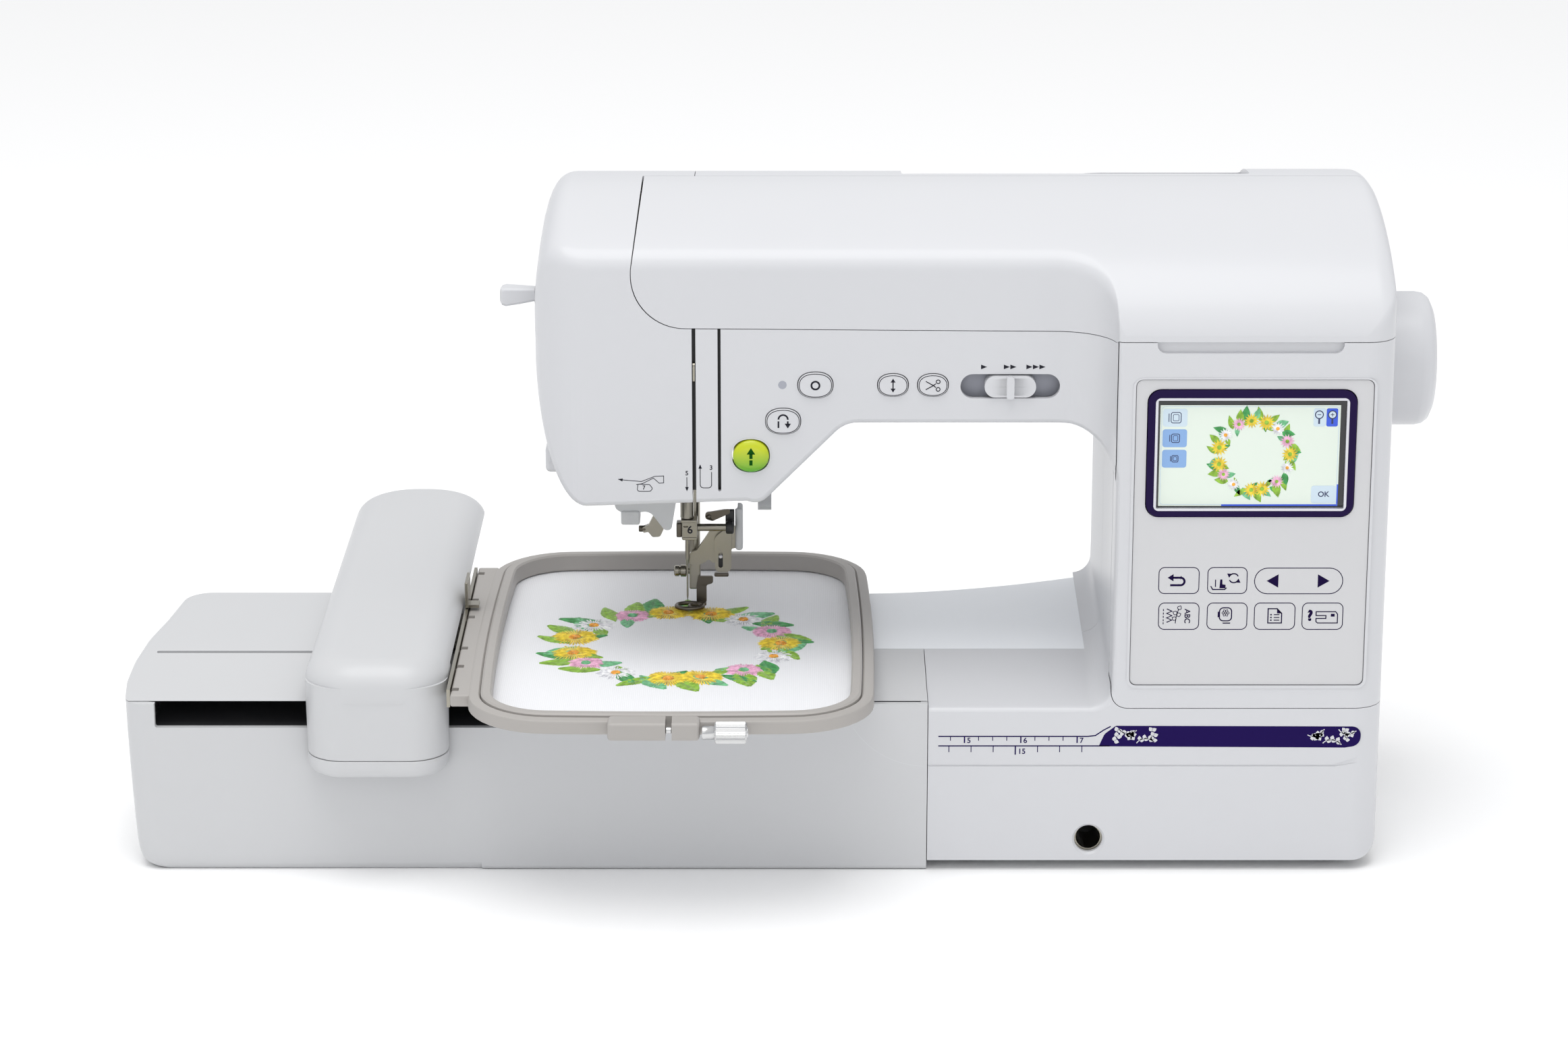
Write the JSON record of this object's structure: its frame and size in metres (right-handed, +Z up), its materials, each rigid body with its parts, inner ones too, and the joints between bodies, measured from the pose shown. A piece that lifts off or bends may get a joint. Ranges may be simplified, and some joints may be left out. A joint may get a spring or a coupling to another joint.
{
  "type": "embroidery machine",
  "caption": "Free-arm sewing and embroidery machine with a touch display, handwheel, embroidery unit, moving carriage and a hooped embroidery frame under the needle.",
  "frame": {"origin": "middle of the footprint at the table surface", "axes": "+X to the operator's right towards the handwheel, -Y towards the operator, +Z up"},
  "size_m": [0.6004, 0.3502, 0.2995],
  "materials": {
    "body_white": "satin moulded white",
    "unit_white": "satin moulded white",
    "panel_grey": "printed light grey film",
    "navy_trim": "gloss navy",
    "display_glass": "pale touch display",
    "clear_plastic": "clear moulded plastic",
    "start_green": "translucent green",
    "steel": "nickel plated",
    "cast_alloy": "die cast",
    "hoop_beige": "beige grey moulded",
    "cloth_white": "plain woven cotton, embroidered",
    "black_plastic": "moulded black",
    "rubber_black": "moulded black",
    "light_grey": "moulded grey",
    "board_green": "solder mask"
  },
  "bodies": {
    "machine": {"base_pan": "light_grey", "bobbin_cover": "clear_plastic", "circuit_board": "board_green", "control_sheet": "panel_grey", "face_cover": "body_white", "foot_front_left": "rubber_black", "foot_front_right": "rubber_black", "foot_rear_left": "rubber_black", "foot_rear_right": "rubber_black", "free_arm_cover": "body_white", "front_housing": "body_white", "inner_deck": "light_grey", "knee_lifter_socket": "steel", "lamp_lens": "clear_plastic", "lcd_bezel": "navy_trim", "lcd_screen": "display_glass", "main_frame": "cast_alloy", "main_motor": "cast_alloy", "needle_plate": "steel", "panel_cover": "body_white", "power_inlet": "black_plastic", "rear_housing": "body_white", "spool_pin": "black_plastic", "unit_base": "unit_white", "unit_rail": "steel", "unit_top_cover": "unit_white"},
    "lid": {"top_cover": "body_white"},
    "handle": {"carry_handle": "body_white"},
    "winder": {"bobbin_winder": "light_grey"},
    "main_shaft": {"handwheel": "body_white", "upper_shaft": "steel", "drive_pulley": "black_plastic"},
    "lower_shaft": {"lower_shaft": "steel"},
    "hook": {"rotary_hook": "steel"},
    "bobbin": {"bobbin": "clear_plastic"},
    "take_up": {"take_up_lever": "steel"},
    "needle_bar": {"needle_bar": "steel", "needle_clamp": "steel", "needle": "steel"},
    "presser": {"presser_bar": "steel", "embroidery_foot": "steel"},
    "presser_lever": {"presser_lever": "light_grey"},
    "threader_lever": {"threader_lever": "body_white"},
    "threader_carrier": {"threader_carrier": "light_grey"},
    "start_stop_button": {"start_stop_button": "start_green"},
    "reverse_button": {"reverse_button": "body_white"},
    "reinforcement_button": {"reinforcement_button": "body_white"},
    "needle_position_button": {"needle_position_button": "body_white"},
    "thread_cutter_button": {"thread_cutter_button": "body_white"},
    "speed_knob": {"speed_knob": "body_white"},
    "power_switch": {"power_switch": "black_plastic"},
    "carriage": {"carriage_cover": "unit_white", "carriage_foot": "unit_white"},
    "frame": {"frame_holder": "steel", "hoop_outer_ring": "hoop_beige", "hoop_inner_ring": "hoop_beige", "hoop_fabric": "cloth_white"},
    "frame_lever": {"frame_lever": "steel"},
    "hoop_screw": {"hoop_screw": "steel"}
  },
  "joints": [
    {"name": "lid_hinge", "type": "hinge", "parent": "machine", "child": "lid", "pos_m": [0.07315, 0.0074, 0.2995], "axis": [-1, 0, 0], "range_deg": [0, 75]},
    {"name": "handle_hinge", "type": "hinge", "parent": "machine", "child": "handle", "pos_m": [0.13315, 0.0161, 0.2952], "axis": [1, 0, 0], "range_deg": [0, 95]},
    {"name": "winder_shift", "type": "slide", "parent": "machine", "child": "winder", "axis": [1, 0, 0], "range_m": [0, 0.006]},
    {"name": "main_shaft_spin", "type": "hinge", "parent": "machine", "child": "main_shaft", "pos_m": [0.30015, 0.0111, 0.2124], "axis": [1, 0, 0], "continuous": true},
    {"name": "lower_shaft_spin", "type": "hinge", "parent": "machine", "child": "lower_shaft", "pos_m": [-0.02685, 0.0131, 0.062], "axis": [1, 0, 0], "continuous": true},
    {"name": "hook_spin", "type": "hinge", "parent": "machine", "child": "hook", "pos_m": [-0.04645, -0.0059, 0.05], "axis": [0, 0, 1], "continuous": true},
    {"name": "bobbin_spin", "type": "hinge", "parent": "machine", "child": "bobbin", "pos_m": [-0.04645, -0.0059, 0.074], "axis": [0, 0, 1], "continuous": true},
    {"name": "take_up_swing", "type": "hinge", "parent": "machine", "child": "take_up", "pos_m": [-0.04105, -0.0349, 0.214], "axis": [1, 0, 0], "range_deg": [-20, 20]},
    {"name": "needle_bar_slide", "type": "slide", "parent": "machine", "child": "needle_bar", "axis": [0, 0, 1], "range_m": [-0.0042, 0.002]},
    {"name": "presser_lift", "type": "slide", "parent": "machine", "child": "presser", "axis": [0, 0, 1], "range_m": [0, 0.008]},
    {"name": "presser_lever_turn", "type": "hinge", "parent": "machine", "child": "presser_lever", "pos_m": [-0.01005, 0.0551, 0.172], "axis": [-1, 0, 0], "range_deg": [0, 22]},
    {"name": "threader_lever_slide", "type": "slide", "parent": "machine", "child": "threader_lever", "axis": [0, 0, 1], "range_m": [-0.048, 0], "stiffness_N_per_m": 20, "springref_m": 0.03},
    {"name": "threader_carrier_slide", "type": "slide", "parent": "machine", "child": "threader_carrier", "axis": [0, 0, 1], "range_m": [-0.0168, 0]},
    {"name": "start_stop_button_press", "type": "slide", "parent": "machine", "child": "start_stop_button", "axis": [0, 1, 0], "range_m": [0, 0.0015], "stiffness_N_per_m": 400, "springref_m": -0.0015},
    {"name": "reverse_button_press", "type": "slide", "parent": "machine", "child": "reverse_button", "axis": [0, 1, 0], "range_m": [0, 0.0015], "stiffness_N_per_m": 400, "springref_m": -0.0015},
    {"name": "reinforcement_button_press", "type": "slide", "parent": "machine", "child": "reinforcement_button", "axis": [0, 1, 0], "range_m": [0, 0.0015], "stiffness_N_per_m": 400, "springref_m": -0.0015},
    {"name": "needle_position_button_press", "type": "slide", "parent": "machine", "child": "needle_position_button", "axis": [0, 1, 0], "range_m": [0, 0.0015], "stiffness_N_per_m": 400, "springref_m": -0.0015},
    {"name": "thread_cutter_button_press", "type": "slide", "parent": "machine", "child": "thread_cutter_button", "axis": [0, 1, 0], "range_m": [0, 0.0015], "stiffness_N_per_m": 400, "springref_m": -0.0015},
    {"name": "speed_knob_slide", "type": "slide", "parent": "machine", "child": "speed_knob", "axis": [1, 0, 0], "range_m": [-0.01, 0.01]},
    {"name": "power_switch_rock", "type": "hinge", "parent": "machine", "child": "power_switch", "pos_m": [0.26315, 0.0571, 0.038], "axis": [0, 0, 1], "range_deg": [-6, 6]},
    {"name": "carriage_slide", "type": "slide", "parent": "machine", "child": "carriage", "axis": [1, 0, 0], "range_m": [-0.06, 0.068]},
    {"name": "frame_slide", "type": "slide", "parent": "carriage", "child": "frame", "axis": [0, 1, 0], "range_m": [-0.044, 0.136]},
    {"name": "frame_lever_turn", "type": "hinge", "parent": "frame", "child": "frame_lever", "pos_m": [-0.14975, -0.0049, 0.0965], "axis": [0, 0, -1], "range_deg": [0, 30]},
    {"name": "hoop_screw_turn", "type": "hinge", "parent": "frame", "child": "hoop_screw", "pos_m": [-0.03685, -0.1703, 0.092], "axis": [1, 0, 0], "continuous": true}
  ],
  "couplings": [
    {"joint": "lower_shaft_spin", "follows": "main_shaft_spin", "ratio": 1},
    {"joint": "hook_spin", "follows": "main_shaft_spin", "ratio": 2},
    {"joint": "presser_lever_turn", "follows": "presser_lift", "rad_per_m": 47.9},
    {"joint": "threader_carrier_slide", "follows": "threader_lever_slide", "ratio": 0.35}
  ]
}
